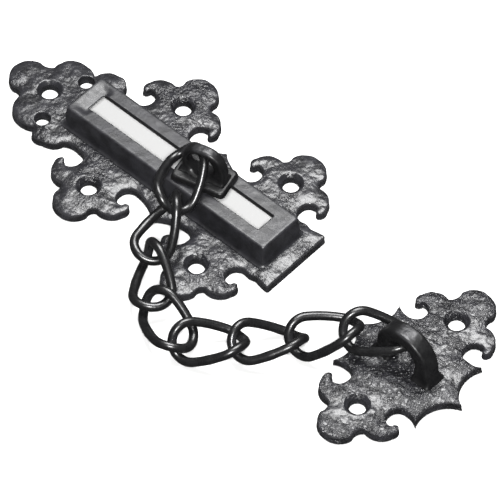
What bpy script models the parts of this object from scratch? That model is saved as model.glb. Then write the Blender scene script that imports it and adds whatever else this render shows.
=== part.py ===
"""Door chain guard: a cast slide plate with its captive eye, a chain of twisted links and a cast staple plate.

Everything lies face up as it would on a bench, with the chain laid out between the two plates.
Lengths are in millimetres until they reach a mesh, which holds metres.
"""
import math

import bmesh
import bpy
import numpy as np
from mathutils import Matrix, Vector

MM = 0.001
GAP = 0.35                      # clearance between pieces that touch on the real object

# Where each plate's own zero stands in the object's frame
SLIDE_PLATE_AT = (-50.4, 10.9)
STAPLE_PLATE_AT = (81.0, 4.1)
STAPLE_PLATE_TURN = -1.9        # degrees about Z

PLATE_THICK = 4.0
EAR_HOLE_OUT = 24.0             # screw hole to the plate's long centre line
EAR_SPACING = 50.7
EAR_TIP = 14.8                  # screw hole to the tip of the middle lobe
SCREW_BORE = 5.8
SCREW_SINK = 9.0                # width of the countersink at the face
SINK_DEPTH = 1.7

# Slide plate
FINIAL_HOLE_X = -39.6
FINIAL_SKEW = -2.0              # the casting's finial leans a little off the centre line
SKEW_FROM = -24.0               # the lean starts here and is complete SKEW_RUN further out
SKEW_RUN = 8.0
BODY_HALF = 14.5                # half width at the bottom of the notches
BAR_END_X = 75.2
CUSP_Y = 19.2
CURL_HOLE = (-32.5, 11.2)
CURL_BORE = 5.0
TRACK_X = (-24.9, 68.0)
TRACK_TOP = 13.0
TRACK_HALF = 9.2
TRACK_DRAFT = 0.7
LIP_THICK = 1.2
SLOT_X = (-18.8, 60.9)
SLOT_HALF = 4.0
CAVITY_X = (-24.1, 67.2)        # hollow under the lips, at the level of the plate's face
CAVITY_HALF = 8.5
CAVITY_DRAFT = 0.5
HOLLOW_X = (-26.2, 68.5)        # the same hollow opened out at the plate's back
HOLLOW_HALF = 10.4

# Slider: a foot on the track, an eye for the first link, a neck through the slot and a riveted washer
SLIDER_X = 31.6
SLIDER_TURN = 14.0
FOOT_SIZE = (21.0, 13.0, 2.6)
FOOT_SHIFT = 0.7                # the foot reaches further towards the end bar than towards the finial
FOOT_TAPER = (0.94, 0.92)
FOOT_CORNER = 1.6
EYE_RADIUS = 7.5
EYE_BORE = 9.8
EYE_THICK = 4.4
EYE_RIM = 1.0
BORE_CHAMFER = 0.8
EYE_HEIGHT = 21.2
WAIST_IN = 6.6                  # half width under the eye on the finial's side; the other side is full
NECK_RADIUS = 3.6
TAIL_RADIUS = 2.4
TAIL_OUT = 1.2                  # how far the riveted tail stands out of the washer
WASHER_RADIUS = 6.1
WASHER_THICK = 2.4

# Staple plate
STAPLE_HOLE_OUT = 24.4
STAPLE_EAR_TIP = 16.2
STAPLE_TOP = 20.5
STAPLE_HALF = 3.4               # half width of the cast arch
STAPLE_FOOT = 12.4
STAPLE_SPAN = 5.6               # half width of its opening
STAPLE_CROWN = 5.4              # thickness over the opening
STAPLE_RIM = 1.2

# Chain
WIRE = 3.3
LINK_LENGTH = 28.0
LINK_WIDTH = 17.2
LINK_TWIST = -90.0              # degrees from one end of a link to the other
LINK_STEPS = 40
WIRE_SIDES = 10
# Where the links hook into each other, from the eye to the arch, as the chain is laid out
CROSSINGS = [
    (-25.2, 11.8, 20.6),
    (-16.9, -6.7, 16.2),
    (-12.7, -22.3, 9.0),
    (1.8, -36.4, 6.5),
    (19.5, -42.4, 5.6),
    (34.6, -29.5, 6.4),
    (48.0, -14.3, 5.5),
    (61.0, -2.2, 10.8),
    (78.2, 7.0, 10.4),
]
ROLLS = [44, 74, 84, 61, 53, 39, 51, 51]    # tilt of each link's first end from lying flat, in degrees


def arc(start, through, end, steps=6):
    """Points of the circular arc from start to end by way of through, without the last point."""
    a, b, c = (np.array(p, float) for p in (start, through, end))
    cross = (b[0] - a[0]) * (c[1] - a[1]) - (b[1] - a[1]) * (c[0] - a[0])
    if abs(cross) < 1e-6:
        return [tuple(a + (c - a) * i / steps) for i in range(steps)]
    squares = [(p @ p) for p in (a, b, c)]
    centre = np.array([
        squares[0] * (b[1] - c[1]) + squares[1] * (c[1] - a[1]) + squares[2] * (a[1] - b[1]),
        squares[0] * (c[0] - b[0]) + squares[1] * (a[0] - c[0]) + squares[2] * (b[0] - a[0]),
    ]) / (2 * cross)
    first, last = (math.atan2(*(p - centre)[::-1]) for p in (a, c))
    turn = (last - first) % (2 * math.pi)
    if cross < 0:
        turn -= 2 * math.pi
    radius = np.linalg.norm(a - centre)
    angles = [first + turn * i / steps for i in range(steps)]
    return [(centre[0] + radius * math.cos(t), centre[1] + radius * math.sin(t)) for t in angles]


def chain_of_arcs(points, steps=6):
    """Arcs through each three points in turn: start, through, shared end, and so on."""
    outline = []
    for i in range(0, len(points) - 2, 2):
        outline += arc(points[i], points[i + 1], points[i + 2], steps)
    return outline + [points[-1]]


def mirrored(points, axis):
    """The same run of points on the other side of a centre line, in reverse order."""
    across, up = (-1, 1) if axis == "x" else (1, -1)
    return [(x * across, y * up) for x, y in reversed(points)]


def ear_half(tip):
    """Half of a fleur from its tip to the bottom of its notch, as (along, outward) from the screw hole."""
    return chain_of_arcs([
        (0.0, tip), (5.2, tip - 1.8), (7.4, tip - 5.8),
        (7.2, 7.2), (8.6, 5.4),
        (13.6, 4.6), (16.6, 0.4),
        (17.0, -2.2), (15.9, -3.7),
        (14.6, -3.4), (13.9, -1.9),
        (11.0, -2.4), (9.7, -5.3),
        (10.7, -8.4), (13.8, -9.5),
    ])


def slide_plate_outline():
    """Half of the long plate, from the finial's tip round the upper ears to the middle of the end bar."""
    finial = [
        (-57.0, 0.0), (-55.3, 4.6), (-50.5, 7.4),
        (-47.8, 7.3), (-46.0, 8.8),
        (-44.7, 13.8), (-40.1, 16.9),
        (-36.1, 17.0), (-32.4, 15.6),
        (-30.2, 19.3), (-26.1, 19.7),
        (-21.9, 18.6), (-20.2, 15.6),
        (-17.4, 14.4), (-13.8, 14.5),
    ]
    half = chain_of_arcs(finial)
    ear = ear_half(EAR_TIP)
    for centre in (0.0, EAR_SPACING):
        half += [(centre + q, EAR_HOLE_OUT + p) for q, p in mirrored(ear, "x")[1:]]
        half += [(centre + q, EAR_HOLE_OUT + p) for q, p in ear[1:]]
        if centre == 0.0:
            middle = EAR_SPACING / 2
            dip = chain_of_arcs([(13.8, BODY_HALF), (19.4, 15.6), (middle, CUSP_Y)])
            half += dip[1:]
            half += [(EAR_SPACING - x, y) for x, y in reversed(dip)][1:]
    half += chain_of_arcs([(64.5, 14.5), (66.8, 14.7), (68.6, 14.2)])[1:]
    half += [(69.2, 14.2), (BAR_END_X - 0.8, 15.0), (BAR_END_X, 14.2)]
    return half


def staple_plate_outline():
    """A quarter of the short plate mirrored twice: ear, corner point and side point."""
    ear = [(q, STAPLE_HOLE_OUT + p) for q, p in ear_half(STAPLE_EAR_TIP)]
    side = chain_of_arcs([(13.8, 14.9), (16.6, 15.2), (19.2, 16.6)])[1:]
    star = chain_of_arcs([(19.2, 16.6), (18.4, 7.4), (25.4, 0.0)])[1:]
    quarter = ear + side + star
    half = quarter + [(x, -y) for x, y in reversed(quarter)][1:]
    return half + [(-x, y) for x, y in reversed(half)][1:-1]


def new_object(name, mesh, colour, roughness, metallic=0.0):
    """One named object with its own paint."""
    material = bpy.data.materials.new(name)
    material.use_nodes = True
    shader = material.node_tree.nodes["Principled BSDF"]
    shader.inputs["Base Color"].default_value = (*colour, 1.0)
    shader.inputs["Roughness"].default_value = roughness
    shader.inputs["Metallic"].default_value = metallic
    mesh.materials.append(material)
    thing = bpy.data.objects.new(name, mesh)
    bpy.context.scene.collection.objects.link(thing)
    return thing


def slab(name, outline, low, high, top_scale=None):
    """A closed outline carried straight up from low to high; top_scale shrinks the top about its middle."""
    work = bmesh.new()
    face = work.faces.new([work.verts.new((x * MM, y * MM, low * MM)) for x, y in outline])
    face.normal_update()
    if face.normal.z > 0:
        face.normal_flip()
    lifted = bmesh.ops.extrude_face_region(work, geom=[face])["geom"]
    top = [v for v in lifted if isinstance(v, bmesh.types.BMVert)]
    bmesh.ops.translate(work, verts=top, vec=(0, 0, (high - low) * MM))
    if top_scale:
        middle = sum((v.co for v in top), Vector()) / len(top)
        shrink = Matrix.Diagonal((*top_scale, 1, 1))
        around = Matrix.Translation(middle)
        bmesh.ops.transform(work, matrix=around @ shrink @ around.inverted(), verts=top)
    bmesh.ops.recalc_face_normals(work, faces=work.faces)
    mesh = bpy.data.meshes.new(name)
    work.to_mesh(mesh)
    work.free()
    return mesh


def box(x_range, y_range):
    """Corners of a rectangle."""
    return [(x_range[0], y_range[0]), (x_range[1], y_range[0]), (x_range[1], y_range[1]), (x_range[0], y_range[1])]


def drafted(name, x_range, half, low, high, draft):
    """A block of the given size at its top that is wider by the draft on each side at its bottom."""
    wide = (x_range[0] - draft, x_range[1] + draft)
    length = wide[1] - wide[0]
    narrow = ((length - 2 * draft) / length, half / (half + draft))
    return slab(name, box(wide, (-half - draft, half + draft)), low, high, narrow)


def turned(name, profile, sides=28):
    """A solid of revolution about Z from (radius, height) points, closed at both ends."""
    work = bmesh.new()
    rings = []
    for radius, height in profile:
        ring = [(radius * math.cos(t), radius * math.sin(t), height)
                for t in (2 * math.pi * i / sides for i in range(sides))]
        rings.append([work.verts.new(Vector(p) * MM) for p in ring])
    for below, above in zip(rings, rings[1:]):
        for i in range(sides):
            j = (i + 1) % sides
            work.faces.new((below[i], below[j], above[j], above[i]))
    work.faces.new(rings[0][::-1])
    work.faces.new(rings[-1])
    bmesh.ops.recalc_face_normals(work, faces=work.faces)
    mesh = bpy.data.meshes.new(name)
    work.to_mesh(mesh)
    work.free()
    return mesh


def cutter(name, mesh):
    """A hidden tool for a Boolean."""
    thing = bpy.data.objects.new(name, mesh)
    thing.hide_render = True
    thing.display_type = "WIRE"
    bpy.context.scene.collection.objects.link(thing)
    return thing


def combine(target, tool, operation):
    step = target.modifiers.new(tool.name, "BOOLEAN")
    step.object = tool
    step.operation = operation
    step.solver = "EXACT"


def screw_hole_tool(name, at, low=-1.0):
    """Bore and countersink for one wood screw."""
    bore, sink = SCREW_BORE / 2, SCREW_SINK / 2
    rim = PLATE_THICK - SINK_DEPTH
    tool = cutter(name, turned(name, [(bore, low), (bore, rim), (sink, PLATE_THICK), (sink, PLATE_THICK + 1)]))
    tool.location = (at[0] * MM, at[1] * MM, 0)
    return tool


def make_slide_plate(place):
    upper = slide_plate_outline()
    lower = mirrored(upper, "y")
    outline = upper + lower[:-1]
    lean = [(x, y + FINIAL_SKEW * min(1.0, max(0.0, (SKEW_FROM - x) / SKEW_RUN))) for x, y in outline]
    plate = new_object("slide_plate", slab("slide_plate", lean, 0, PLATE_THICK), (0.02, 0.02, 0.022), 0.42, 0.3)
    track = drafted("track_tool", TRACK_X, TRACK_HALF, 1, TRACK_TOP, TRACK_DRAFT)
    combine(plate, cutter("track_tool", track), "UNION")
    lip = TRACK_TOP - LIP_THICK
    top_x = (CAVITY_X[0] + CAVITY_DRAFT, CAVITY_X[1] - CAVITY_DRAFT)
    cavity = drafted("cavity_tool", top_x, CAVITY_HALF - CAVITY_DRAFT, PLATE_THICK - 1, lip, CAVITY_DRAFT)
    combine(plate, cutter("cavity_tool", cavity), "DIFFERENCE")
    flare = HOLLOW_HALF - CAVITY_HALF
    hollow_x = (HOLLOW_X[0] + flare, HOLLOW_X[1] - flare)
    hollow = drafted("hollow_tool", hollow_x, CAVITY_HALF, -0.01, PLATE_THICK, flare)
    combine(plate, cutter("hollow_tool", hollow), "DIFFERENCE")
    slot = slab("slot_tool", box(SLOT_X, (-SLOT_HALF, SLOT_HALF)), 2, TRACK_TOP + 1)
    combine(plate, cutter("slot_tool", slot), "DIFFERENCE")
    holes = [(FINIAL_HOLE_X, FINIAL_SKEW)]
    holes += [(x, side * EAR_HOLE_OUT) for x in (0.0, EAR_SPACING) for side in (1, -1)]
    for i, at in enumerate(holes):
        combine(plate, screw_hole_tool(f"slide_screw_tool_{i}", at), "DIFFERENCE")
    for side in (1, -1):
        name = f"curl_tool_{side + 1}"
        radius = CURL_BORE / 2
        curl = cutter(name, turned(name, [(radius, -1), (radius, PLATE_THICK + 1)], 20))
        curl.location = (CURL_HOLE[0] * MM, (side * CURL_HOLE[1] + FINIAL_SKEW) * MM, 0)
        combine(plate, curl, "DIFFERENCE")
    gather(plate, place)
    return plate


def gather(thing, place):
    """Moves a piece and the tools that shape it to their place together."""
    tools = [m.object for m in thing.modifiers if m.type == "BOOLEAN"]
    for piece in [thing] + tools:
        piece.matrix_world = place @ piece.matrix_basis


def eye_outline():
    """The slider seen along its bore: foot, waist and round eye, as (along, height)."""
    foot_top = TRACK_TOP + GAP + FOOT_SIZE[2]
    reach_out = FOOT_SIZE[0] / 2 + FOOT_SHIFT - 1.2
    reach_in = FOOT_SIZE[0] / 2 - FOOT_SHIFT - 1.2

    out = chain_of_arcs([
        (reach_out, foot_top - 0.4), (reach_out - 0.5, foot_top + 1.4), (9.5, EYE_HEIGHT - 2.0),
        (8.9, EYE_HEIGHT + 1.6), (7.6, EYE_HEIGHT + 4.6),
        (4.6, EYE_HEIGHT + 6.9), (0.0, EYE_HEIGHT + EYE_RADIUS),
    ])
    inner = chain_of_arcs([
        (reach_in, foot_top - 0.4), (WAIST_IN + 1.0, foot_top + 0.9), (WAIST_IN, EYE_HEIGHT - 3.0),
        (EYE_RADIUS, EYE_HEIGHT + 0.4), (6.2, EYE_HEIGHT + 4.2),
        (3.6, EYE_HEIGHT + 6.6), (0.0, EYE_HEIGHT + EYE_RADIUS),
    ])
    return out + [(-x, z) for x, z in reversed(inner)][1:]


def make_slider(place):
    """Foot, eye, neck and tail in one casting, with its own zero on the neck's centre line at the plate's back."""
    length, width, height = FOOT_SIZE
    foot_low = TRACK_TOP + GAP
    foot_x = (FOOT_SHIFT - length / 2, FOOT_SHIFT + length / 2)
    foot = slab("slider", box(foot_x, (-width / 2, width / 2)), foot_low, foot_low + height, FOOT_TAPER)
    slider = new_object("slider", foot, (0.018, 0.018, 0.02), 0.38, 0.3)
    bevel_corners(slider, FOOT_CORNER)
    eye = slab("eye_tool", eye_outline(), -EYE_THICK / 2, EYE_THICK / 2)
    eye.transform(Matrix.Rotation(math.pi / 2, 4, "X"))
    eye_tool = cutter("eye_tool", eye)
    bevel_rim(eye_tool, EYE_RIM)
    combine(slider, eye_tool, "UNION")
    shoulder = TRACK_TOP - LIP_THICK - GAP + 0.1
    tail_end = shoulder - 0.1 - WASHER_THICK - TAIL_OUT
    neck = turned("neck_tool", [(TAIL_RADIUS, tail_end), (TAIL_RADIUS, shoulder),
                                (NECK_RADIUS, shoulder), (NECK_RADIUS, foot_low + 1)])
    combine(slider, cutter("neck_tool", neck), "UNION")
    radius, face = EYE_BORE / 2, EYE_THICK / 2
    wide, chamfer = radius + BORE_CHAMFER, face - BORE_CHAMFER
    bore = turned("bore_tool", [(wide, -face - 2), (wide, -face), (radius, -chamfer),
                                (radius, chamfer), (wide, face), (wide, face + 2)], 24)
    bore.transform(Matrix.Translation((0, 0, EYE_HEIGHT * MM)) @ Matrix.Rotation(math.pi / 2, 4, "X"))
    combine(slider, cutter("bore_tool", bore), "DIFFERENCE")
    gather(slider, place)
    return slider


def bevel_corners(thing, width):
    """Rounds the upright corners of a slab."""
    work = bmesh.new()
    work.from_mesh(thing.data)
    upright = [e for e in work.edges if abs(e.verts[0].co.z - e.verts[1].co.z) > 1.0 * MM]
    bmesh.ops.bevel(work, geom=upright, offset=width * MM, segments=3, profile=0.5, affect="EDGES")
    work.to_mesh(thing.data)
    work.free()


def bevel_rim(thing, width):
    """Rounds the sharp outer edges of a slab's two faces."""
    rim = thing.modifiers.new("rim", "BEVEL")
    rim.width = width * MM
    rim.segments = 2
    rim.limit_method = "ANGLE"
    rim.angle_limit = math.radians(60)


def make_washer(place):
    """The washer under the lips, round the slider's tail."""
    low = TRACK_TOP - LIP_THICK - GAP - WASHER_THICK
    high = low + WASHER_THICK
    washer = new_object("slider_washer", turned("slider_washer", [(WASHER_RADIUS, low), (WASHER_RADIUS, high)], 28),
                        (0.05, 0.05, 0.052), 0.45, 0.8)
    bore = TAIL_RADIUS + GAP
    tool = cutter("washer_tool", turned("washer_tool", [(bore, low - 1), (bore, high + 1)], 20))
    combine(washer, tool, "DIFFERENCE")
    gather(washer, place)
    return washer


def arch_outline():
    """Half of the staple seen along its opening, outside and inside, as (along, height), with flared feet."""
    outer = chain_of_arcs([
        (STAPLE_FOOT + 1.6, PLATE_THICK - 1), (STAPLE_FOOT + 0.2, PLATE_THICK + 1.6), (STAPLE_FOOT - 0.6, 7.8),
        (8.6, STAPLE_TOP - 3.6), (0.0, STAPLE_TOP),
    ])
    crown = STAPLE_TOP - STAPLE_CROWN
    inner = chain_of_arcs([
        (0.0, crown), (STAPLE_SPAN * 0.74, crown - 1.6), (STAPLE_SPAN, crown - 5.2),
        (STAPLE_SPAN - 0.3, 6.6), (STAPLE_SPAN - 1.0, PLATE_THICK - 1),
    ])
    return outer, inner


def make_staple_plate(place):
    plate = new_object("staple_plate", slab("staple_plate", staple_plate_outline(), 0, PLATE_THICK),
                       (0.02, 0.02, 0.022), 0.42, 0.3)
    outer, inner = arch_outline()
    ring = [(-x, z) for x, z in outer] + [(x, z) for x, z in reversed(outer)][1:]
    hole = [(-x, z) for x, z in reversed(inner)] + [(x, z) for x, z in inner][1:]
    loop = ring + hole[::-1]
    arch = slab("arch_tool", loop, -STAPLE_HALF, STAPLE_HALF)
    arch.transform(Matrix.Rotation(math.pi / 2, 4, "X"))
    arch_tool = cutter("arch_tool", arch)
    bevel_rim(arch_tool, STAPLE_RIM)
    combine(plate, arch_tool, "UNION")
    for i, side in enumerate((1, -1)):
        at = (0.0, side * STAPLE_HOLE_OUT)
        combine(plate, screw_hole_tool(f"staple_screw_tool_{i}", at), "DIFFERENCE")
    gather(plate, place)
    return plate


def link_mesh(name, first, last, roll):
    """A wire loop twisted along its length, from one crossing to the next."""
    a, b = Vector(first), Vector(last)
    along = (b - a).normalized()
    flat = Vector((0, 0, 1)).cross(along).normalized()
    up = along.cross(flat)
    middle = (a + b) / 2
    half_width = (LINK_WIDTH - WIRE) / 2
    straight = (LINK_LENGTH - LINK_WIDTH) / 2
    reach = straight + half_width
    path = []
    for i in range(LINK_STEPS):
        u, w = stadium_point(i / LINK_STEPS, straight, half_width)
        turn = math.radians(roll + LINK_TWIST * (u / reach + 1) / 2)
        path.append(middle + along * u + (flat * math.cos(turn) + up * math.sin(turn)) * w)
    work = bmesh.new()
    rings = []
    count = len(path)
    for i, point in enumerate(path):
        tangent = (path[(i + 1) % count] - path[i - 1]).normalized()
        outward = (point - middle) - along * (point - middle).dot(along) * 0.5
        outward = (outward - tangent * outward.dot(tangent)).normalized()
        side = tangent.cross(outward)
        ring = [point + (outward * math.cos(t) + side * math.sin(t)) * WIRE / 2
                for t in (2 * math.pi * k / WIRE_SIDES for k in range(WIRE_SIDES))]
        rings.append([work.verts.new(p * MM) for p in ring])
    for i in range(count):
        here, there = rings[i], rings[(i + 1) % count]
        for k in range(WIRE_SIDES):
            n = (k + 1) % WIRE_SIDES
            work.faces.new((here[k], here[n], there[n], there[k]))
    bmesh.ops.recalc_face_normals(work, faces=work.faces)
    mesh = bpy.data.meshes.new(name)
    work.to_mesh(mesh)
    work.free()
    return mesh


def stadium_point(share, straight, radius):
    """Point at a share of the way round an oval with two straight sides, as (along, across)."""
    bend = math.pi * radius
    side = 2 * straight
    way = share * 2 * (bend + side)
    if way < bend:
        angle = math.pi / 2 - way / radius
        return straight + radius * math.cos(angle), radius * math.sin(angle)
    way -= bend
    if way < side:
        return straight - way, -radius
    way -= side
    if way < bend:
        angle = -math.pi / 2 - way / radius
        return -straight + radius * math.cos(angle), radius * math.sin(angle)
    way -= bend
    return -straight + way, radius


def hang_on_last_link():
    """An empty on the last crossing, which is the axis the staple plate turns about, carries that plate."""
    axis = bpy.data.objects.new("staple_plate_axis", None)
    bpy.context.scene.collection.objects.link(axis)
    axis.location = Vector(CROSSINGS[-1]) * MM
    bpy.context.view_layer.update()
    plate = bpy.data.objects["staple_plate"]
    for piece in [plate] + [m.object for m in plate.modifiers if m.type == "BOOLEAN"]:
        piece.parent = axis
        piece.matrix_parent_inverse = axis.matrix_world.inverted()


def shade(thing):
    thing.data.shade_smooth()
    thing.data.set_sharp_from_angle(angle=math.radians(35))


def build():
    for old in list(bpy.data.objects):
        bpy.data.objects.remove(old)
    slide_place = Matrix.Translation((SLIDE_PLATE_AT[0] * MM, SLIDE_PLATE_AT[1] * MM, 0))
    slider_place = slide_place @ Matrix.Translation((SLIDER_X * MM, 0, 0))
    slider_turn = slider_place @ Matrix.Rotation(math.radians(SLIDER_TURN), 4, "Z")
    staple_place = (Matrix.Translation((STAPLE_PLATE_AT[0] * MM, STAPLE_PLATE_AT[1] * MM, 0))
                    @ Matrix.Rotation(math.radians(STAPLE_PLATE_TURN), 4, "Z"))
    pieces = [make_slide_plate(slide_place), make_slider(slider_turn), make_washer(slider_place),
              make_staple_plate(staple_place)]
    for i, roll in enumerate(ROLLS):
        name = f"link_{i + 1:02d}"
        mesh = link_mesh(name, CROSSINGS[i], CROSSINGS[i + 1], roll)
        link = new_object(name, mesh, (0.012, 0.012, 0.013), 0.3, 0.2)
        link.data.transform(Matrix.Translation(-Vector(CROSSINGS[i]) * MM))
        link.location = Vector(CROSSINGS[i]) * MM
        pieces.append(link)
    for piece in pieces:
        shade(piece)
    hang_on_last_link()


build()
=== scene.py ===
import math

import bpy
import numpy as np
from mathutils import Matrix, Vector
from mathutils.geometry import delaunay_2d_cdt


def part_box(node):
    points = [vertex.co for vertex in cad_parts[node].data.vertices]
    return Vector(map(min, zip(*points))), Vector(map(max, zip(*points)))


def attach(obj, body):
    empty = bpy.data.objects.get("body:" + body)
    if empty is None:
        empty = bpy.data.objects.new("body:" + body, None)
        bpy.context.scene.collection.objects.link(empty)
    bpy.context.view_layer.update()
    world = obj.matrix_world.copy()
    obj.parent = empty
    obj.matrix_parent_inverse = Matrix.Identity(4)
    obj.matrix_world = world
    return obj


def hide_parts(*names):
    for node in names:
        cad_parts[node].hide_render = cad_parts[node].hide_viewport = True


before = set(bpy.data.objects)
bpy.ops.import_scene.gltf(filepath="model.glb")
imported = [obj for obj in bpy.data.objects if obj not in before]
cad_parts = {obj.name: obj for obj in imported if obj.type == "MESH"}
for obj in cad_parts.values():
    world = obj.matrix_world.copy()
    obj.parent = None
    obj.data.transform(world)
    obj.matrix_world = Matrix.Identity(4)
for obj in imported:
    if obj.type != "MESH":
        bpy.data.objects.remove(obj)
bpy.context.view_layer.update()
mm = 0.001

# the camera, which sees the middle of the object from above its right front
cameraSetup = {
    "lookAt": (0.0085, 0.005, 0.0014),
    "azimuth": 42.4,
    "elevation": 52.2,
    "distance": 1.8,
    "frameWidth": 0.1712,
    "sensor": 36.0,
}


def sight(look):
    # the unit direction towards something that stands at an azimuth and an elevation
    a, e = math.radians(look["azimuth"]), math.radians(look["elevation"])
    return Vector((math.sin(a) * math.cos(e), -math.cos(a) * math.cos(e), math.sin(e)))


def makeCamera(setup):
    # looks back along the sight line, with a lens that takes in the frame's width at that distance
    back = sight(setup)
    data = bpy.data.cameras.new("camera")
    data.sensor_width = setup["sensor"]
    data.lens = setup["sensor"] * setup["distance"] / setup["frameWidth"]
    data.clip_start = 0.05
    data.clip_end = 50
    camera = bpy.data.objects.new("camera", data)
    camera.location = Vector(setup["lookAt"]) + back * setup["distance"]
    camera.rotation_mode = "QUATERNION"
    camera.rotation_quaternion = (-back).to_track_quat("-Z", "Y")
    bpy.context.scene.collection.objects.link(camera)
    bpy.context.scene.camera = camera


makeCamera(cameraSetup)
print("camera placed")


def arcRun(points, steps=14):
    # circular arcs through each three points in turn (start, through, shared end), at even angles
    p = np.array(points, float)
    a, b, c = p[:-2:2], p[1:-1:2], p[2::2]
    cross = (b - a)[:, 0] * (c - a)[:, 1] - (b - a)[:, 1] * (c - a)[:, 0]
    sa, sb, sc = (a ** 2).sum(1), (b ** 2).sum(1), (c ** 2).sum(1)
    centreX = sa * (b - c)[:, 1] + sb * (c - a)[:, 1] + sc * (a - b)[:, 1]
    centreY = sa * (c - b)[:, 0] + sb * (a - c)[:, 0] + sc * (b - a)[:, 0]
    centre = np.stack([centreX, centreY], 1) / (2 * cross)[:, None]
    first = np.arctan2(a[:, 1] - centre[:, 1], a[:, 0] - centre[:, 0])
    last = np.arctan2(c[:, 1] - centre[:, 1], c[:, 0] - centre[:, 0])
    turn = np.mod(last - first, 2 * np.pi)
    turn = np.where(cross < 0, turn - 2 * np.pi, turn)
    radius = np.hypot(*(a - centre).T)
    angle = first[:, None] + turn[:, None] * np.arange(steps) / steps
    run = centre[:, None, :] + radius[:, None, None] * np.stack([np.cos(angle), np.sin(angle)], -1)
    return np.vstack([run.reshape(-1, 2), p[-1:]])


def evenLoop(loop, step):
    # a closed run of points taken again at even distances along it
    closed = np.vstack([loop, loop[:1]])
    way = np.concatenate([[0], np.cumsum(np.hypot(*np.diff(closed, axis=0).T))])
    count = int(round(way[-1] / step))
    at = np.arange(count) * way[-1] / count
    return np.stack([np.interp(at, way, closed[:, k]) for k in (0, 1)], 1)


def evenRun(run, count):
    # an open run of points taken again at even distances along it
    way = np.concatenate([[0], np.cumsum(np.hypot(*np.diff(run, axis=0).T))])
    at = np.linspace(0, way[-1], count)
    return np.stack([np.interp(at, way, run[:, k]) for k in (0, 1)], 1)


def flip(points, x, y):
    # the run on the other side of a centre line, walked the other way
    return np.array(points)[::-1] * (x, y)


def circle(centre, radius, count):
    # points at even angles on a circle
    angle = np.arange(count) * 2 * np.pi / count
    return np.array(centre) + radius * np.stack([np.cos(angle), np.sin(angle)], 1)


def measure(points, loops):
    # least distance from each point to the loops, and whether an odd number of edges is crossed to its right
    start = np.vstack(loops)
    along = np.vstack([np.roll(loop, -1, axis=0) for loop in loops]) - start
    size = (along ** 2).sum(1)
    rise = np.where(np.abs(along[:, 1]) < 1e-12, 1e-12, along[:, 1])
    near, inside = [], []
    for part in np.array_split(points, max(1, len(points) // 1500)):
        to = part[:, None, :] - start
        share = np.clip((to * along).sum(2) / size, 0, 1)
        near.append(np.sqrt(((to - along * share[..., None]) ** 2).sum(2).min(1)))
        level = to[..., 1]
        spans = (level < 0) != (level < along[:, 1])
        crossing = start[:, 0] + level * along[:, 0] / rise
        inside.append((spans & (part[:, None, 0] < crossing)).sum(1) % 2 == 1)
    return np.concatenate(near), np.concatenate(inside)


def smoothStep(low, high, value):
    # 0 below low, 1 above high, and a cubic ease between
    t = np.clip((value - low) / (high - low), 0, 1)
    return t * t * (3 - 2 * t)


def lumps(points, cell, seed):
    # smooth random heights from 0 to 1: random values on a cubic lattice, eased between its corners
    table = np.random.default_rng(seed).random((32, 32, 32))
    place = points / cell
    base = np.floor(place).astype(int)
    part = place - base
    part = part * part * (3 - 2 * part)
    total = np.zeros(len(points))
    for corner in np.ndindex(2, 2, 2):
        weight = np.prod(np.where(np.array(corner) == 1, part, 1 - part), axis=1)
        at = (base + corner) % 32
        total += weight * table[at[:, 0], at[:, 1], at[:, 2]]
    return total


def gridFaces(rows, cols, closedRows):
    # four-cornered faces between neighbouring points of a grid whose columns close on themselves
    r = np.arange(rows if closedRows else rows - 1)[:, None]
    c = np.arange(cols)[None, :]
    nextR, nextC = (r + 1) % rows, (c + 1) % cols
    corners = [r * cols + c, r * cols + nextC, nextR * cols + nextC, nextR * cols + c]
    return np.stack(np.broadcast_arrays(*corners), -1).reshape(-1, 4)


def shell(grid, closedRows=True):
    # a grid of points as one closed skin; open ends are closed with a fan from their middle
    rows, cols = grid.shape[:2]
    points = grid.reshape(-1, 3)
    faces = gridFaces(rows, cols, closedRows).tolist()
    if not closedRows:
        ring = np.arange(cols)
        after = (ring + 1) % cols
        for first, order in ((0, 1), ((rows - 1) * cols, -1)):
            points = np.vstack([points, grid[0 if first == 0 else -1].mean(0)])
            hub = np.full(cols, len(points) - 1)
            fan = np.stack([first + after, first + ring, hub], 1)[:, ::order]
            faces += fan.tolist()
    return outward(points, faces)


def outward(points, faces):
    # turns every face over if the volume inside, summed over corner triangles, comes out negative
    volume = 0.0
    for size in (3, 4):
        some = np.array([f for f in faces if len(f) == size])
        if len(some):
            for k in range(1, size - 1):
                a, b, c = points[some[:, 0]], points[some[:, k]], points[some[:, k + 1]]
                volume += (a * np.cross(b, c)).sum()
    if volume < 0:
        faces = [f[::-1] for f in faces]
    return points, faces


def roundedRings(x0, x1, half, corner, z, perCorner=7, alongX=120, alongY=24):
    # one rounded rectangle for each entry of the arrays: four quarter circles with straight runs between them
    x0, x1, half, corner, z = np.broadcast_arrays(*(np.array(v, float) for v in (x0, x1, half, corner, z)))
    centres = [(x1 - corner, half - corner), (x0 + corner, half - corner),
               (x0 + corner, corner - half), (x1 - corner, corner - half)]
    quarter = np.linspace(0, np.pi / 2, perCorner)
    parts = []
    for k, (cx, cy) in enumerate(centres):
        angle = quarter + k * np.pi / 2
        bend = np.stack([cx[:, None] + corner[:, None] * np.cos(angle),
                         cy[:, None] + corner[:, None] * np.sin(angle)], -1)
        nx, ny = centres[(k + 1) % 4]
        start = np.stack([nx + corner * math.cos(angle[-1]), ny + corner * math.sin(angle[-1])], -1)
        count = alongX if k % 2 == 0 else alongY
        share = (np.arange(1, count) / count)[None, :, None]
        parts += [bend, bend[:, -1:] * (1 - share) + start[:, None] * share]
    flat = np.concatenate(parts, axis=1)
    height = np.broadcast_to(z[:, None, None], flat.shape[:2] + (1,))
    return np.concatenate([flat, height], axis=-1)


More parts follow.
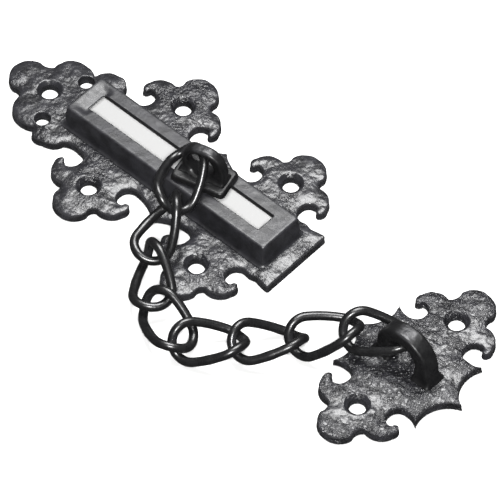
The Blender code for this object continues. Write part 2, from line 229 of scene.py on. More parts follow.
def lathe(profile, sides=64):
    # (radius, height) points carried round Z
    p = np.array(profile, float)
    angle = np.arange(sides) * 2 * np.pi / sides
    ring = np.stack([np.cos(angle), np.sin(angle)], -1)
    flat = p[:, None, :1] * ring[None]
    height = np.broadcast_to(p[:, None, 1:], flat.shape[:2] + (1,))
    return np.concatenate([flat, height], axis=-1)


def sectionRound(width, halfDepth, corner, perCorner, across, deep):
    # a rounded rectangle for each station, as (over the width, from -halfDepth to halfDepth)
    return roundedRings(0, width, halfDepth, corner, 0, perCorner, across, deep)[..., :2]


def placed(points, zero, degrees=0.0):
    # turned about Z, then moved from a plate's own zero to the object's frame
    c, s = math.cos(math.radians(degrees)), math.sin(math.radians(degrees))
    out = np.array(points, float)
    out[..., 0] = points[..., 0] * c - points[..., 1] * s + zero[0]
    out[..., 1] = points[..., 0] * s + points[..., 1] * c + zero[1]
    return out


def makePiece(name, shells, wearAndHighlight=None):
    # the shells, in millimetres, as one mesh in metres, with each point's weight of painted highlight and of
    # wear
    points, faces, start = [], [], 0
    for shellPoints, shellFaces in shells:
        points.append(shellPoints)
        faces += [[i + start for i in f] for f in shellFaces]
        start += len(shellPoints)
    points = np.vstack(points)
    mesh = bpy.data.meshes.new(name)
    mesh.from_pydata((points * mm).tolist(), [], faces)
    mesh.attributes.new("wearAndHighlight", "FLOAT", "POINT")
    values = np.zeros(len(points)) if wearAndHighlight is None else wearAndHighlight(points)
    mesh.attributes["wearAndHighlight"].data.foreach_set("value", values.astype(np.float32))
    mesh.shade_smooth()
    piece = bpy.data.objects.new(name, mesh)
    bpy.context.scene.collection.objects.link(piece)
    return piece


def castSkin(piece, depth, cell, seed, keepBack=False):
    # sinks each point along its normal by two sizes of lumps, so that nothing stands proud
    mesh = piece.data
    count = len(mesh.vertices)
    points, normals = np.empty(count * 3), np.empty(count * 3)
    mesh.vertices.foreach_get("co", points)
    mesh.vertex_normals.foreach_get("vector", normals)
    points, normals = points.reshape(-1, 3), normals.reshape(-1, 3)
    sink = 0.6 * lumps(points, cell * mm, seed) + 0.4 * lumps(points, cell * 0.42 * mm, seed + 1)
    if keepBack:
        sink = sink * smoothStep(0.3, 1.6, points[:, 2] / mm)
    points -= normals * (sink * depth * mm)[:, None]
    mesh.vertices.foreach_set("co", points.reshape(-1))
    mesh.update()


def wound(loop, leftward):
    # the loop walked with its inside on the left, or on the right
    area = (loop[:, 0] * np.roll(loop[:, 1], -1) - loop[:, 1] * np.roll(loop[:, 0], -1)).sum()
    return loop if (area > 0) == leftward else loop[::-1]


def triangulate(flat, loops):
    # triangles between the points that keep to the loops' edges, and where each given point ended up
    edges, start = [], 0
    for loop in loops:
        ring = np.arange(start, start + len(loop))
        edges += np.stack([ring, np.roll(ring, -1)], 1).tolist()
        start += len(loop)
    made = delaunay_2d_cdt([Vector(p) for p in flat.tolist()], edges, [], 0, 1e-6)
    points = np.array([tuple(p) for p in made[0]])
    faces = np.array(made[2])
    faces = faces[measure(points[faces].mean(1), loops)[1]]
    a, b, c = points[faces[:, 0]], points[faces[:, 1]], points[faces[:, 2]]
    area = (b - a)[:, 0] * (c - a)[:, 1] - (b - a)[:, 1] * (c - a)[:, 0]
    faces = np.where((area < 0)[:, None], faces[:, ::-1], faces)
    back = np.zeros(len(flat), int)
    for new, olds in enumerate(made[3]):
        back[olds] = new
    return points, faces, back


def plateTop(points, outer, holes, plate):
    # thickness, less a quarter round at the rim, a slow fall towards it and a bowl at each hole, with a
    # painted highlight along the rim and round each countersink
    rim = plate["rim"]
    far = measure(points, [outer])[0]
    drop = rim - np.sqrt(rim ** 2 - (rim - np.clip(far, 0, rim)) ** 2)
    drop += plate["pillow"] * np.clip(1 - far / plate["pillowReach"], 0, 1) ** 2
    # painted highlight, strongest right at the rim
    wearAndHighlight = np.exp(-far / 0.5)
    for hole in holes:
        if "centre" in hole:
            out = np.hypot(*(points - hole["centre"]).T)
            share = np.clip((hole["sink"] - out) / (hole["sink"] - hole["bore"]), 0, 1)
            drop = np.maximum(drop, hole["depth"] * share ** hole["bend"])
            wearAndHighlight = np.maximum(wearAndHighlight, 0.8 * np.exp(-np.abs(out - hole["sink"]) / 0.4))
    return plate["thick"] - drop, wearAndHighlight


def plateShell(outline, holes, plate):
    # face, flat back and the walls between them, over one net of points that follows the rim and the holes
    step, rim = plate["step"], plate["rim"]
    outer = wound(evenLoop(outline, step * 0.8), True)
    loops = [outer] + [wound(hole["loop"], False) for hole in holes]
    inward = np.roll(outer, -1, axis=0) - np.roll(outer, 1, axis=0)
    inward = np.stack([-inward[:, 1], inward[:, 0]], 1) / np.hypot(*inward.T)[:, None]
    nets = []
    for level in plate["rimLevels"]:
        ring = outer + inward * level * rim
        far, inside = measure(ring, [outer])
        nets.append(ring[inside & (far > level * rim * 0.95)])
    low, high = outer.min(0), outer.max(0)
    x, y = np.meshgrid(np.arange(low[0], high[0], step), np.arange(low[1], high[1], step * 0.866))
    x = x + (np.arange(x.shape[0]) % 2)[:, None] * step / 2
    net = np.stack([x.ravel(), y.ravel()], 1)
    far, inside = measure(net, [outer])
    nets.append(net[inside & (far > rim * plate["rimLevels"][-1] + step * 0.5)])
    net = np.vstack(nets)
    for hole in holes:
        if "centre" in hole:
            clear = hole["sink"] + 0.5
            net = net[np.hypot(*(net - hole["centre"]).T) > clear]
            for radius in np.linspace(hole["bore"], clear, 7)[1:]:
                extra = circle(hole["centre"], radius, 48)
                far, inside = measure(extra, [outer])
                net = np.vstack([net, extra[inside & (far > 0.1)]])
        else:
            far, inside = measure(net, [hole["loop"]])
            net = net[~inside & (far > step * 0.4)]
    top, topFaces, topPlace = triangulate(np.vstack(loops + [net]), loops)
    height, wearAndHighlight = plateTop(top, outer, holes, plate)
    bottom, bottomFaces, bottomPlace = triangulate(np.vstack(loops), loops)
    points = [np.column_stack([top, height]), np.column_stack([bottom, np.zeros(len(bottom))])]
    faces = topFaces.tolist() + (bottomFaces[:, ::-1] + len(top)).tolist()
    plateHighlights = [wearAndHighlight, np.zeros(len(bottom))]
    total, start = len(top) + len(bottom), 0
    for loop in loops:
        size = len(loop)
        upper = topPlace[start:start + size]
        bands = [upper]
        for share in (0.75, 0.5, 0.25):
            points.append(np.column_stack([top[upper], height[upper] * share]))
            plateHighlights.append(np.zeros(size))
            bands.append(np.arange(total, total + size))
            total += size
        bands.append(bottomPlace[start:start + size] + len(top))
        for a, b in zip(bands, bands[1:]):
            faces += np.stack([a, b, np.roll(b, -1), np.roll(a, -1)], 1).tolist()
        start += size
    return np.vstack(points), faces, np.concatenate(plateHighlights)


class Signal:
    # one output of a material's nodes; sums and products of signals add Math nodes
    def __init__(self, paint, socket):
        self.paint, self.socket = paint, socket

    def maths(self, operation, other, swapped=False):
        first, second = (other, self) if swapped else (self, other)
        return self.paint.node("ShaderNodeMath", {"operation": operation}, {0: first, 1: second})

    def __add__(self, other):
        return self.maths("ADD", other)

    __radd__ = __add__

    def __sub__(self, other):
        return self.maths("SUBTRACT", other)

    def __rsub__(self, other):
        return self.maths("SUBTRACT", other, True)

    def __mul__(self, other):
        return self.maths("MULTIPLY", other)

    __rmul__ = __mul__


class Paint:
    # a node material in the making
    def __init__(self, name):
        self.material = bpy.data.materials.new(name)
        self.material.use_nodes = True
        self.tree = self.material.node_tree
        self.tree.nodes.clear()
        self.place = self.node("ShaderNodeTexCoord", {}, {}, "Object")

    def node(self, kind, settings, inputs, output=0):
        made = self.tree.nodes.new(kind)
        for key, value in settings.items():
            setattr(made, key, value)
        for key, value in inputs.items():
            if isinstance(value, Signal):
                self.tree.links.new(value.socket, made.inputs[key])
            else:
                made.inputs[key].default_value = value
        return Signal(self, made.outputs[output])

    def noise(self, scale, detail, rough=0.55):
        return self.node("ShaderNodeTexNoise", {}, {
            "Vector": self.place, "Scale": scale, "Detail": detail, "Roughness": rough}, "Fac")

    def ramp(self, value, low, high):
        return self.node("ShaderNodeMapRange", {"interpolation_type": "SMOOTHSTEP"}, {
            "Value": value, "From Min": low, "From Max": high}, "Result")

    def mix(self, factor, first, second):
        return self.node("ShaderNodeMix", {"data_type": "RGBA"}, {0: factor, 6: first, 7: second}, 2)

    def bump(self, height, distance):
        return self.node("ShaderNodeBump", {}, {"Strength": 1.0, "Distance": distance, "Height": height})

    def attribute(self, name):
        return self.node("ShaderNodeAttribute", {"attribute_name": name}, {}, "Fac")

    def finish(self, inputs):
        shader = self.node("ShaderNodeBsdfPrincipled", {}, inputs)
        end = self.tree.nodes.new("ShaderNodeOutputMaterial")
        self.tree.links.new(shader.socket, end.inputs["Surface"])
        return self.material


def castPaint(name, look):
    # black enamel on a sand casting: swells and grain everywhere, pits in patches, and a lighter, smoother
    # tone from the point attribute: painted highlight along the castings' edges and crowns, real wear at the
    # links' bearing ends
    paint = Paint(name)
    swell = paint.noise(look["swell"], 2.0)
    grain = paint.noise(look["grain"], 4.0, 0.65)
    patch = paint.ramp(paint.noise(look["patch"], 2.0), look["patchLow"], look["patchLow"] + 0.16)
    pits = paint.ramp(paint.noise(look["cells"], 3.0, 0.6), 0.36, 0.62) * patch
    wearAndHighlight = paint.attribute("wearAndHighlight")
    wearAndHighlightMask = paint.ramp(wearAndHighlight * (0.55 + 0.9 * grain), 0.35, 0.95)
    tone = paint.mix(paint.ramp(swell, 0.3, 0.72), (*look["dark"], 1), (*look["light"], 1))
    # painted highlight on the castings' edges and crowns, and wear on the links, mixed into the colour
    tone = paint.mix(wearAndHighlightMask * look["wearHighlightWeight"], tone, (*look["wearHighlightTone"], 1))
    height = look["swellHeight"] * swell + look["pitHeight"] * pits + look["grainHeight"] * grain
    roughness = look["gloss"] + look["glossSpread"] * paint.ramp(grain, 0.3, 0.7) - 0.08 * wearAndHighlightMask
    return paint.finish({
        "Base Color": tone,
        "Roughness": roughness,
        "Normal": paint.bump(height, look["relief"]),
        "Metallic": wearAndHighlightMask * look["metal"],
        "Specular IOR Level": look["specular"],
        "Coat Weight": look["coat"],
        "Coat Roughness": 0.25,
    })


plateLook = {
    "dark": (0.01, 0.01, 0.0115), "light": (0.024, 0.024, 0.028), "wearHighlightTone": (0.075, 0.075, 0.08),
    "swell": 210.0, "cells": 430.0, "grain": 900.0, "patch": 45.0, "patchLow": 0.5,
    "swellHeight": 1.0, "pitHeight": 0.45, "grainHeight": 0.16, "relief": 0.0007,
    "gloss": 0.22, "glossSpread": 0.12, "wearHighlightWeight": 0.5, "metal": 0.3, "specular": 0.6, "coat": 0.15,
}
stapleLook = dict(plateLook, patchLow=0.36, pitHeight=0.6, relief=0.0008, gloss=0.2)
trackLook = dict(plateLook, swellHeight=0.08, pitHeight=0.04, grainHeight=0.26, relief=0.0003, gloss=0.36)
sliderLook = dict(plateLook, dark=(0.005, 0.005, 0.0055), light=(0.009, 0.009, 0.0095), relief=0.0003,
                  swellHeight=0.6, pitHeight=0.2, gloss=0.34, wearHighlightWeight=0.4, specular=0.42, coat=0.04)
linkLook = dict(sliderLook, swell=420.0, cells=900.0, grain=2600.0, relief=0.00018,
                swellHeight=0.35, pitHeight=0.12, grainHeight=0.12,
                gloss=0.26, glossSpread=0.08, wearHighlightWeight=0.3, specular=0.6, coat=0.2)
washerLook = dict(plateLook, dark=(0.05, 0.05, 0.052), light=(0.11, 0.11, 0.112), wearHighlightTone=(0.3, 0.3, 0.3),
                  relief=0.0002, swellHeight=0.2, pitHeight=0.1, gloss=0.38, metal=0.9)
platePaint = castPaint("plateEnamel", plateLook)
staplePaint = castPaint("stapleEnamel", stapleLook)
trackPaint = castPaint("trackEnamel", trackLook)
# darker enamel, on the slider and, as painted shade, on the staple arch
darkPaintAndArchShade = castPaint("darkEnamelAndArchShade", sliderLook)
linkPaint = castPaint("linkEnamel", linkLook)
washerPaint = castPaint("washerSteel", washerLook)
print("paints mixed")


def settle(piece, node, material):
    # the piece moves with the node of that name and is seen in its place
    piece.data.materials.append(material)
    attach(piece, node)
    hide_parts(node)


# the slide plate, in millimetres, with its zero midway between its first two ears
slidePlate = {
    "thick": 4.0, "rim": 0.6, "rimLevels": (0.12, 0.35, 0.7, 1.2), "step": 0.62,
    "pillow": 0.55, "pillowReach": 5.5,
    "earOut": 24.0, "earSpacing": 50.7, "tip": 14.77,
    "finialReach": 57.0, "finialHole": -39.6, "skew": -2.0, "skewFrom": -24.0, "skewRun": 8.0,
    "screwBore": 2.9, "screwSink": 4.5, "sinkDepth": 1.7,
    "curlHole": (-32.5, 11.2), "curlBore": 2.5, "curlEdge": 0.7,
    "hollow": (-26.5, 68.8, 10.7), "hollowCorner": 1.2,
    "lumpDepth": 0.42, "lumpSize": 3.8,
}


def earHalf(tip):
    # half of a fleur from its tip to the bottom of its notch, as (along, outward) from the screw hole
    return arcRun([
        (0.0, tip), (5.2, tip - 1.8), (7.4, tip - 5.8), (7.2, 7.2), (8.6, 5.4), (13.6, 4.6), (16.6, 0.4),
        (17.0, -2.2), (15.9, -3.7), (14.6, -3.4), (13.9, -1.9), (11.0, -2.4), (9.7, -5.3), (10.7, -8.4),
        (13.8, -9.5)])


def slideOutline(plate):
    # finial, two pairs of ears with a cusp between them, and the end bar; the lower half mirrors the upper
    finial = arcRun([
        (-plate["finialReach"], 0.0), (-55.3, 4.6), (-50.5, 7.4), (-47.8, 7.3), (-46.0, 8.8), (-44.7, 13.8),
        (-40.1, 16.9), (-36.1, 17.0), (-32.4, 15.6), (-30.2, 19.3), (-26.1, 19.7), (-21.9, 18.6),
        (-20.2, 15.6), (-17.4, 14.4), (-13.8, 14.5)])
    ear = earHalf(plate["tip"])
    middle = plate["earSpacing"] / 2
    dip = arcRun([(13.8, 14.5), (19.4, 15.6), (middle, 19.2)])
    away = flip(dip, -1, 1) + (2 * middle, 0)
    ears = np.vstack([flip(ear, -1, 1), ear[1:]]) + (0, plate["earOut"])
    shoulder = arcRun([(64.5, 14.5), (66.8, 14.7), (68.6, 14.2)])
    bar = arcRun([(69.2, 14.2), (72.0, 14.75), (74.2, 15.0), (74.9, 14.8), (75.2, 14.2)])
    half = np.vstack([finial, ears[1:], dip[1:], away[1:], ears[1:] + (2 * middle, 0), shoulder[1:], bar])
    whole = np.vstack([half, flip(half, 1, -1)[:-1]])
    whole[:, 1] += plate["skew"] * np.clip((plate["skewFrom"] - whole[:, 0]) / plate["skewRun"], 0, 1)
    return whole


def boreHole(centre, bore, sink, depth, bend):
    # a round hole whose edge falls by depth between two radii, the steeper near the bore the larger the bend
    return {"centre": np.array(centre), "bore": bore, "sink": sink, "depth": depth, "bend": bend,
            "loop": circle(centre, bore, 48)}


def screwHole(centre, plate):
    return boreHole(centre, plate["screwBore"], plate["screwSink"], plate["sinkDepth"], 1.2)


def curlHole(side, plate):
    x, y = plate["curlHole"]
    soft = plate["curlEdge"]
    return boreHole((x, side * y + plate["skew"]), plate["curlBore"], plate["curlBore"] + soft, soft, 2.2)


low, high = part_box("slide_plate")
slideZero = (low.x / mm + slidePlate["finialReach"], (low.y + high.y) / 2 / mm)
holes = [screwHole((slidePlate["finialHole"], slidePlate["skew"]), slidePlate)]
holes += [screwHole((x, side * slidePlate["earOut"]), slidePlate)
          for x in (0.0, slidePlate["earSpacing"]) for side in (1, -1)]
holes += [curlHole(side, slidePlate) for side in (1, -1)]
x0, x1, half = slidePlate["hollow"]
opening = roundedRings([x0], [x1], [half], [slidePlate["hollowCorner"]], [0.0], 5, 60, 14)[0][:, :2]
holes.append({"loop": evenLoop(opening, 0.8)})
points, faces, plateHighlights = plateShell(slideOutline(slidePlate), holes, slidePlate)
plate = makePiece("slidePlateCasting", [(placed(points, slideZero), faces)], lambda p: plateHighlights)
castSkin(plate, slidePlate["lumpDepth"], slidePlate["lumpSize"], 11, True)
settle(plate, "slide_plate", platePaint)
print("slide plate cast:", len(plate.data.polygons))

# the raised track with its slot, in the slide plate's own places
slideTrack = {
    "x": (-24.9, 68.0), "half": 9.2, "top": 13.0, "draft": 0.7, "edge": 0.9, "corner": 1.1,
    "foot": 1.4, "footLow": 3.55, "footTop": 5.3, "footCorner": 2.0,
    "slotX": (-18.8, 60.9), "slotHalf": 4.0, "slotEdge": 0.3, "lip": 1.2,
    "hollowX": (-23.6, 66.7), "hollowHalf": 8.0, "hollowDraft": 0.5, "back": (-26.2, 68.5, 10.4),
    "dish": 0.85, "lumpDepth": 0.14, "lumpSize": 3.4,
}


def trackRings(track):
    # one profile carried round the track: foot, wall, rounded edge, top, slot wall, underside, hollow, back
    tx0, tx1 = track["x"]
    sx0, sx1 = track["slotX"]
    hx0, hx1 = track["hollowX"]
    bx0, bx1, backHalf = track["back"]
    top, half, draft, edge = track["top"], track["half"], track["draft"], track["edge"]
    slotHalf, under = track["slotHalf"], top - track["lip"]
    rings = []

    def add(x0, x1, y, corner, z):
        rings.append((x0, x1, y, corner, z))

    def walled(out, corner, z):
        add(tx0 - out, tx1 + out, half + out, corner, z)

    for t in np.linspace(0, np.pi / 2, 6):
        walled(draft + track["foot"] * (1 - np.sin(t)), track["footCorner"],
               track["footLow"] + track["foot"] * (1 - np.cos(t)))
    for share in (0.25, 0.5, 0.75):
        walled(draft * (1 - share), 1.2, track["footTop"] + (top - edge - track["footTop"]) * share)
    for t in np.linspace(0, np.pi / 2, 6):
        walled(-edge * (1 - np.cos(t)), track["corner"], top - edge * (1 - np.sin(t)))
    for share in np.linspace(0, 1, 11)[1:-1]:
        add(tx0 + edge + (sx0 - tx0 - edge) * share, tx1 - edge + (sx1 - tx1 + edge) * share,
            half - edge + (slotHalf - half + edge) * share, track["corner"] - 0.6 * share, top)
    soft = track["slotEdge"]
    for t in np.linspace(0, np.pi / 2, 4):
        out = soft * (1 - np.sin(t))
        add(sx0 - out, sx1 + out, slotHalf + out, 0.45, top - soft * (1 - np.cos(t)))
    add(sx0, sx1, slotHalf, 0.45, under + 0.1)
    add(sx0 - 0.1, sx1 + 0.1, slotHalf + 0.1, 0.5, under)
    for share in (0.35, 0.7, 1.0):
        add(sx0 + (hx0 - sx0) * share, sx1 + (hx1 - sx1) * share,
            slotHalf + (track["hollowHalf"] - slotHalf) * share, 0.6, under)
    out = track["hollowDraft"]
    add(hx0 - out, hx1 + out, track["hollowHalf"] + out, 0.8, 4.0)
    add(bx0, bx1, backHalf, 1.2, 0.04)
    add(bx0 - 0.5, bx1 + 0.5, backHalf + 0.5, 1.4, 0.04)
    add(tx0 - 2.0, tx1 + 2.0, half + 2.0, 1.6, 3.0)
    return np.array(rings)


def dishTrack(grid, track):
    # the end strip by the finial falls steadily from its outer edge to the slot
    x, y, z = grid[..., 0], grid[..., 1], grid[..., 2]
    ridge, slotEnd = track["x"][0] + 1.0, track["slotX"][0]
    deep = np.clip((x - ridge) / (slotEnd - ridge), 0, 1) * (1 - smoothStep(0.4, 2.4, x - slotEnd))
    deep = deep * (1 - smoothStep(5.0, 8.0, np.abs(y))) * (z > track["top"] - track["lip"] * 0.5)
    return np.stack([x, y, z - track["dish"] * deep], -1)


def trackHighlight(points):
    # painted highlight where a rounded edge or the slot's lips stand up, and along the top of the end by the
    # finial
    local = points - (*slideZero, 0)
    y = np.abs(local[:, 1])
    rounded, lip = slideTrack["half"] - 0.5, slideTrack["slotHalf"] + 0.1
    edge = np.maximum(np.exp(-np.abs(y - rounded) / 0.35), np.exp(-np.abs(y - lip) / 0.4))
    ends = np.exp(-np.abs(local[:, 0] - slideTrack["x"][0] - 0.6) / 0.3)
    return np.maximum(edge, ends) * smoothStep(12.0, 12.8, points[:, 2])


grid = dishTrack(roundedRings(*trackRings(slideTrack).T, 6, 150, 18), slideTrack)
track = makePiece("slideTrack", [shell(placed(grid, slideZero))], trackHighlight)
castSkin(track, slideTrack["lumpDepth"], slideTrack["lumpSize"], 23, True)
settle(track, "slide_plate", trackPaint)
print("track formed:", len(track.data.polygons))

# the slider, an eye on a foot with a neck that goes down through the slot
slider = {
    "turn": 14.0,
    "foot": (21.0, 13.0, 2.6), "footShift": 0.7, "footLow": 13.35, "footEdge": 0.9, "footCorner": 1.7,
    "eyeHeight": 21.2, "eyeRadius": 7.5, "bore": 4.9, "thick": 4.4, "rim": 1.25, "waist": 6.6,
    "flare": 1.5, "neck": 3.6, "tail": 2.4, "rays": 160, "crownHighlight": (26.5, 28.6, 0.8),
    "lumpDepth": 0.16, "lumpSize": 2.2,
}


def eyeEdge(part):
    # the eye and its waist seen along the bore, from the foot on the right over the crown to the left
    footTop = part["footLow"] + part["foot"][2]
    reach, middle, waist = part["foot"][0] / 2 - 1.2, part["eyeHeight"], part["waist"]
    full = arcRun([
        (reach + part["footShift"], footTop - 0.4), (reach + part["footShift"] - 0.5, footTop + 1.4),
        (9.5, middle - 2.0), (8.9, middle + 1.6), (7.6, middle + 4.6), (4.6, middle + 6.9),
        (0.0, middle + part["eyeRadius"])], 24)
    slim = arcRun([
        (reach - part["footShift"], footTop - 0.4), (waist + 1.0, footTop + 0.9), (waist, middle - 3.0),
        (part["eyeRadius"], middle + 0.4), (6.2, middle + 4.2), (3.6, middle + 6.6),
        (0.0, middle + part["eyeRadius"])], 24)
    return evenLoop(np.vstack([full, flip(slim, -1, 1)[1:]]), 0.25)


def eyeShell(part):
    # for each direction from the middle of the bore, a rounded section from the bore out to the edge
    edge = eyeEdge(part) - (0, part["eyeHeight"])
    angle, reach = np.arctan2(edge[:, 1], edge[:, 0]), np.hypot(*edge.T)
    order = np.argsort(angle)
    way = np.arange(part["rays"]) * 2 * np.pi / part["rays"] - np.pi
    out = np.interp(way, angle[order], reach[order], period=2 * np.pi)
    width = out - part["bore"]
    section = sectionRound(width, part["thick"] / 2, np.minimum(part["rim"], width * 0.46), 7, 6, 6)
    far = part["bore"] + section[..., 0]
    x = far * np.cos(way)[:, None]
    z = part["eyeHeight"] + far * np.sin(way)[:, None]
    footTop = part["footLow"] + part["foot"][2]
    wide = 1 + part["flare"] / (part["thick"] / 2) * np.exp(-np.clip(z - footTop, 0, None) / 0.9)
    y = section[..., 1] * wide
    return shell(np.stack([x, y, z], -1))


def blockShell(sizeX, sizeY, low, high, corner, edge):
    # a block with rounded corners and edges, as rings from the middle of its bottom to the middle of its top
    rings = []
    for share in (0.15, 0.45, 0.75):
        rings.append((sizeX / 2 - edge, sizeY / 2 - edge, share, low))
    for t in np.linspace(0, np.pi / 2, 6):
        inset = edge * (1 - np.sin(t))
        rings.append((sizeX / 2 - inset, sizeY / 2 - inset, 1, low + edge * 0.5 * (1 - np.cos(t))))
    for t in np.linspace(0, np.pi / 2, 7):
        inset = edge * (1 - np.cos(t)) + 0.25
        rings.append((sizeX / 2 - inset, sizeY / 2 - inset, 1, high - edge * (1 - np.sin(t))))
    for share in (0.75, 0.45, 0.15):
        rings.append((sizeX / 2 - edge - 0.25, sizeY / 2 - edge - 0.25, share, high))
    rows = np.array(rings)
    hx, hy = rows[:, 0] * rows[:, 2], rows[:, 1] * rows[:, 2]
    return shell(roundedRings(-hx, hx, hy, corner * rows[:, 2], rows[:, 3], 8, 24, 16), False)


def crownHighlight(part):
    # painted highlight, stronger and stronger between two heights, up to a part of the whole
    low, high, most = part["crownHighlight"]
    return lambda points: smoothStep(low, high, points[:, 2]) * most


low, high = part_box("slider_washer")
sliderZero = ((low.x + high.x) / 2 / mm, (low.y + high.y) / 2 / mm)
washerLow, washerHigh = low.z / mm, high.z / mm
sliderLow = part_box("slider")[0].z / mm
sizeX, sizeY, tall = slider["foot"]
footShell = blockShell(sizeX, sizeY, slider["footLow"], slider["footLow"] + tall, slider["footCorner"],
                       slider["footEdge"])
footShell[0][:, 0] += slider["footShift"]
neck = [(0.6, sliderLow), (1.5, sliderLow + 0.05), (slider["tail"] - 0.1, sliderLow + 0.45),
        (slider["tail"], sliderLow + 0.9), (slider["tail"], washerHigh),
        (slider["neck"] - 0.2, washerHigh + 0.02), (slider["neck"], washerHigh + 0.2),
        (slider["neck"], slider["footLow"] + 1.0)]
parts = [(placed(p, sliderZero, slider["turn"]), f) for p, f in
         (footShell, eyeShell(slider), shell(lathe(neck, 48), False))]
eye = makePiece("sliderEye", parts, crownHighlight(slider))
castSkin(eye, slider["lumpDepth"], slider["lumpSize"], 31)
settle(eye, "slider", darkPaintAndArchShade)

# the washer under the lips of the slot, with a soft edge inside and out
washer = {"outer": 6.1, "outerEdge": 0.35, "bore": 2.75, "boreEdge": 0.2, "middle": 4.4}
half = [(washer["bore"], washerLow + washer["boreEdge"]), (washer["bore"] + washer["boreEdge"], washerLow),
        (washer["middle"], washerLow), (washer["outer"] - washer["outerEdge"], washerLow),
        (washer["outer"], washerLow + washer["outerEdge"])]
wall = half + [(radius, washerLow + washerHigh - z) for radius, z in reversed(half)]
ring = makePiece("sliderWasher", [shell(placed(lathe(wall, 72), sliderZero))])
settle(ring, "slider_washer", washerPaint)
print("slider and washer made")

# the staple plate, with its zero in the middle, and the arch that is cast on it
staplePlate = dict(slidePlate, earOut=24.4, tip=16.16, turn=-1.9, lumpDepth=0.5, lumpSize=3.2)
staple = {
    "top": 20.5, "half": 3.4, "foot": 12.4, "span": 5.6, "crown": 5.4, "rim": 1.3, "flare": 1.3,
    "crownHighlight": (19.3, 20.5, 0.9), "lumpDepth": 0.22, "lumpSize": 2.4,
}


def stapleOutline(plate):
    # a quarter of the plate from the ear's tip to the side's point, mirrored across both centre lines
    ear = earHalf(plate["tip"]) + (0, plate["earOut"])
    side = arcRun([(13.8, 14.9), (16.6, 15.2), (19.2, 16.6)])[1:]
    star = arcRun([(19.2, 16.6), (18.4, 7.4), (25.4, 0.0)])[1:]
    quarter = np.vstack([ear, side, star])
    half = np.vstack([quarter, flip(quarter, 1, -1)[1:]])
    return np.vstack([half, flip(half, -1, 1)[1:-1]])


def archShell(part, base, steps=120):
    # a rounded section from the opening's edge out to the staple's, at each step from one foot over the crown
    outer = arcRun([
        (part["foot"] + 1.6, base - 1), (part["foot"] + 0.2, base + 1.6), (part["foot"] - 0.6, 7.8),
        (8.6, part["top"] - 3.6), (0.0, part["top"])], 24)
    crown = part["top"] - part["crown"]
    inner = arcRun([
        (0.0, crown), (part["span"] * 0.74, crown - 1.6), (part["span"], crown - 5.2),
        (part["span"] - 0.3, 6.6), (part["span"] - 1.0, base - 1)], 24)[::-1]
    outer = evenRun(np.vstack([outer, flip(outer, -1, 1)[1:]]), steps)
    inner = evenRun(np.vstack([inner, flip(inner, -1, 1)[1:]]), steps)
    across = outer - inner
    width = np.hypot(*across.T)
    section = sectionRound(width, part["half"], part["rim"], 7, 9, 7)
    flat = inner[:, None, :] + section[..., :1] * (across / width[:, None])[:, None, :]
    wide = 1 + part["flare"] / part["half"] * np.exp(-np.clip(flat[..., 1] - base, 0, None) / 0.8)
    grid = np.stack([flat[..., 0], section[..., 1] * wide, flat[..., 1]], -1)
    return shell(grid, False)


low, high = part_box("staple_plate")
stapleZero = ((low.x + high.x) / 2 / mm, (low.y + high.y) / 2 / mm)
holes = [screwHole((0.0, side * staplePlate["earOut"]), staplePlate) for side in (1, -1)]
points, faces, plateHighlights = plateShell(stapleOutline(staplePlate), holes, staplePlate)
points = placed(points, stapleZero, staplePlate["turn"])
casting = makePiece("staplePlateCasting", [(points, faces)], lambda p: plateHighlights)
castSkin(casting, staplePlate["lumpDepth"], staplePlate["lumpSize"], 47, True)
settle(casting, "staple_plate", staplePaint)
print("staple plate cast:", len(casting.data.polygons))

archPoints, archFaces = archShell(staple, staplePlate["thick"])
archPoints = placed(archPoints, stapleZero, staplePlate["turn"])
arch = makePiece("stapleArch", [(archPoints, archFaces)], crownHighlight(staple))
castSkin(arch, staple["lumpDepth"], staple["lumpSize"], 53)
# the arch, cast in one piece with the plate, takes the darker enamel: painted shade for its dark sides
settle(arch, "staple_plate", darkPaintAndArchShade)
print("staple arch cast:", len(arch.data.polygons))

# the chain, as the places where its links cross and how far each link is rolled over
chain = {
    "wire": 3.26, "length": 28.0, "width": 17.2, "twist": -90.0, "steps": 180, "sides": 20,
    "weld": 0.1, "weldSpread": 0.16, "rubReach": 2.2, "rubFade": 1.6,
    "crossings": [(-25.2, 11.8, 20.6), (-16.9, -6.7, 16.2), (-12.7, -22.3, 9.0), (1.8, -36.4, 6.5),
                  (19.5, -42.4, 5.6), (34.6, -29.5, 6.4), (48.0, -14.3, 5.5), (61.0, -2.2, 10.8),
                  (78.2, 7.0, 10.4)],
    "rolls": [44, 74, 84, 61, 53, 39, 51, 51],
}


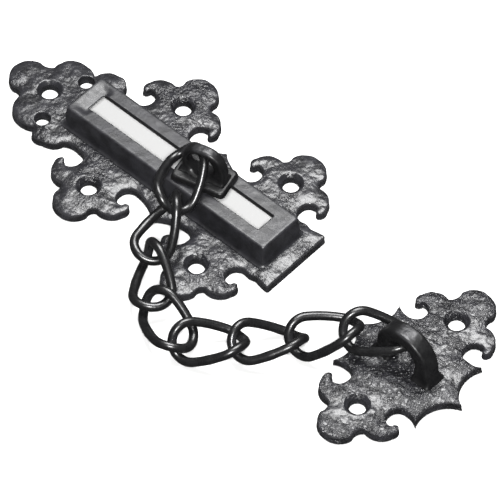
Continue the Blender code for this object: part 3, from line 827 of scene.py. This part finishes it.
def linkPath(first, last, roll, part):
    # a flat oval, whose across direction turns steadily about the link's length from one end to the other
    radius = (part["width"] - part["wire"]) / 2
    straight = (part["length"] - part["width"]) / 2
    bend, side = math.pi * radius, 2 * straight
    way = np.arange(part["steps"]) / part["steps"] * 2 * (bend + side)
    angle = np.where(way < bend, math.pi / 2 - way / radius, -math.pi / 2 - (way - bend - side) / radius)
    onFirst, onSecond = way < bend, (way >= bend + side) & (way < 2 * bend + side)
    u = np.where(onFirst, straight + radius * np.cos(angle), 0)
    w = np.where(onFirst | onSecond, radius * np.sin(angle), 0)
    u = np.where((way >= bend) & ~onSecond & (way < bend + side), straight - (way - bend), u)
    w = np.where((way >= bend) & (way < bend + side), -radius, w)
    u = np.where(onSecond, -straight + radius * np.cos(angle), u)
    late = way >= 2 * bend + side
    u = np.where(late, -straight + way - 2 * bend - side, u)
    w = np.where(late, radius, w)
    along = np.array(last, float) - first
    middle = (np.array(last, float) + first) / 2
    along /= np.linalg.norm(along)
    flat = np.cross((0, 0, 1), along)
    flat /= np.linalg.norm(flat)
    up = np.cross(along, flat)
    turn = np.radians(roll + part["twist"] * (u / (straight + radius) + 1) / 2)[:, None]
    path = middle + along * u[:, None] + (flat * np.cos(turn) + up * np.sin(turn)) * w[:, None]
    return path, middle, along, (way - bend - side / 2) / side


def linkShell(first, last, roll, part):
    # a round wire carried along the path, a little thicker at the weld in the middle of one side
    path, middle, along, weldWay = linkPath(first, last, roll, part)
    tangent = np.roll(path, -1, axis=0) - np.roll(path, 1, axis=0)
    tangent /= np.linalg.norm(tangent, axis=1)[:, None]
    out = path - middle
    out -= along * (out @ along)[:, None] * 0.5
    out -= tangent * (out * tangent).sum(1)[:, None]
    out /= np.linalg.norm(out, axis=1)[:, None]
    side = np.cross(tangent, out)
    angle = np.arange(part["sides"]) * 2 * np.pi / part["sides"]
    radius = part["wire"] / 2 + part["weld"] * np.exp(-(weldWay / part["weldSpread"]) ** 2)
    ring = out[:, None, :] * np.cos(angle)[None, :, None] + side[:, None, :] * np.sin(angle)[None, :, None]
    return shell(path[:, None, :] + ring * radius[:, None, None])


def linkRub(first, last, part):
    # the insides of both ends, where the next link bears
    def wearAndHighlight(points):
        near = [np.linalg.norm(points - end, axis=1) for end in (first, last)]
        return np.exp(-(np.clip(np.minimum(*near) - part["rubReach"], 0, None) / part["rubFade"]) ** 2)
    return wearAndHighlight


for i, roll in enumerate(chain["rolls"]):
    node = f"link_{i + 1:02d}"
    first, last = (np.array(chain["crossings"][k]) for k in (i, i + 1))
    link = makePiece(f"link{i + 1:02d}", [linkShell(first, last, roll, chain)], linkRub(first, last, chain))
    settle(link, node, linkPaint)
print("chain linked")

# a sheet of white paper under the object, a lamp behind it and one beside the camera
studio = {
    "floorSize": 6.0, "floorTone": (0.86, 0.86, 0.855), "worldTone": (1.0, 1.0, 1.0), "worldPower": 0.075,
    "key": {"aim": (0.081, 0.004, 0.0), "azimuth": 222.0, "elevation": 67.5, "distance": 0.7, "size": 0.36,
            "radiance": 17.0},
    "fill": {"aim": (0.0, 0.0, 0.0), "azimuth": cameraSetup["azimuth"], "elevation": 53.0, "distance": 2.4,
             "size": 0.3, "radiance": 256.0},
}


def softBox(name, look):
    # a square lamp that faces the middle of the object; its power gives the radiance asked for
    data = bpy.data.lights.new(name, "AREA")
    data.shape = "SQUARE"
    data.size = look["size"]
    data.energy = look["radiance"] * math.pi * look["size"] ** 2
    lamp = bpy.data.objects.new(name, data)
    direction = sight(look)
    lamp.location = Vector(look["aim"]) + direction * look["distance"]
    lamp.rotation_mode = "QUATERNION"
    lamp.rotation_quaternion = direction.to_track_quat("Z", "Y")
    bpy.context.scene.collection.objects.link(lamp)


half = studio["floorSize"] / 2
floorMesh = bpy.data.meshes.new("floor")
corners = [(-half, -half, 0), (half, -half, 0), (half, half, 0), (-half, half, 0)]
floorMesh.from_pydata(corners, [], [(0, 1, 2, 3)])
floor = bpy.data.objects.new("floor", floorMesh)
bpy.context.scene.collection.objects.link(floor)
floorPaint = Paint("floorPaper")
floorMesh.materials.append(floorPaint.finish({"Base Color": (*studio["floorTone"], 1), "Roughness": 0.85,
                                              "Specular IOR Level": 0.1}))
# the black sides don't mirror the paper, as if dark cards stood round the object
floor.visible_glossy = False
softBox("keyLight", studio["key"])
softBox("fillLight", studio["fill"])
world = bpy.data.worlds.new("studio")
world.use_nodes = True
backdrop = world.node_tree.nodes["Background"]
backdrop.inputs["Color"].default_value = (*studio["worldTone"], 1)
backdrop.inputs["Strength"].default_value = studio["worldPower"]
bpy.context.scene.world = world
bpy.context.scene.view_settings.view_transform = "Standard"
print("floor and lights set")
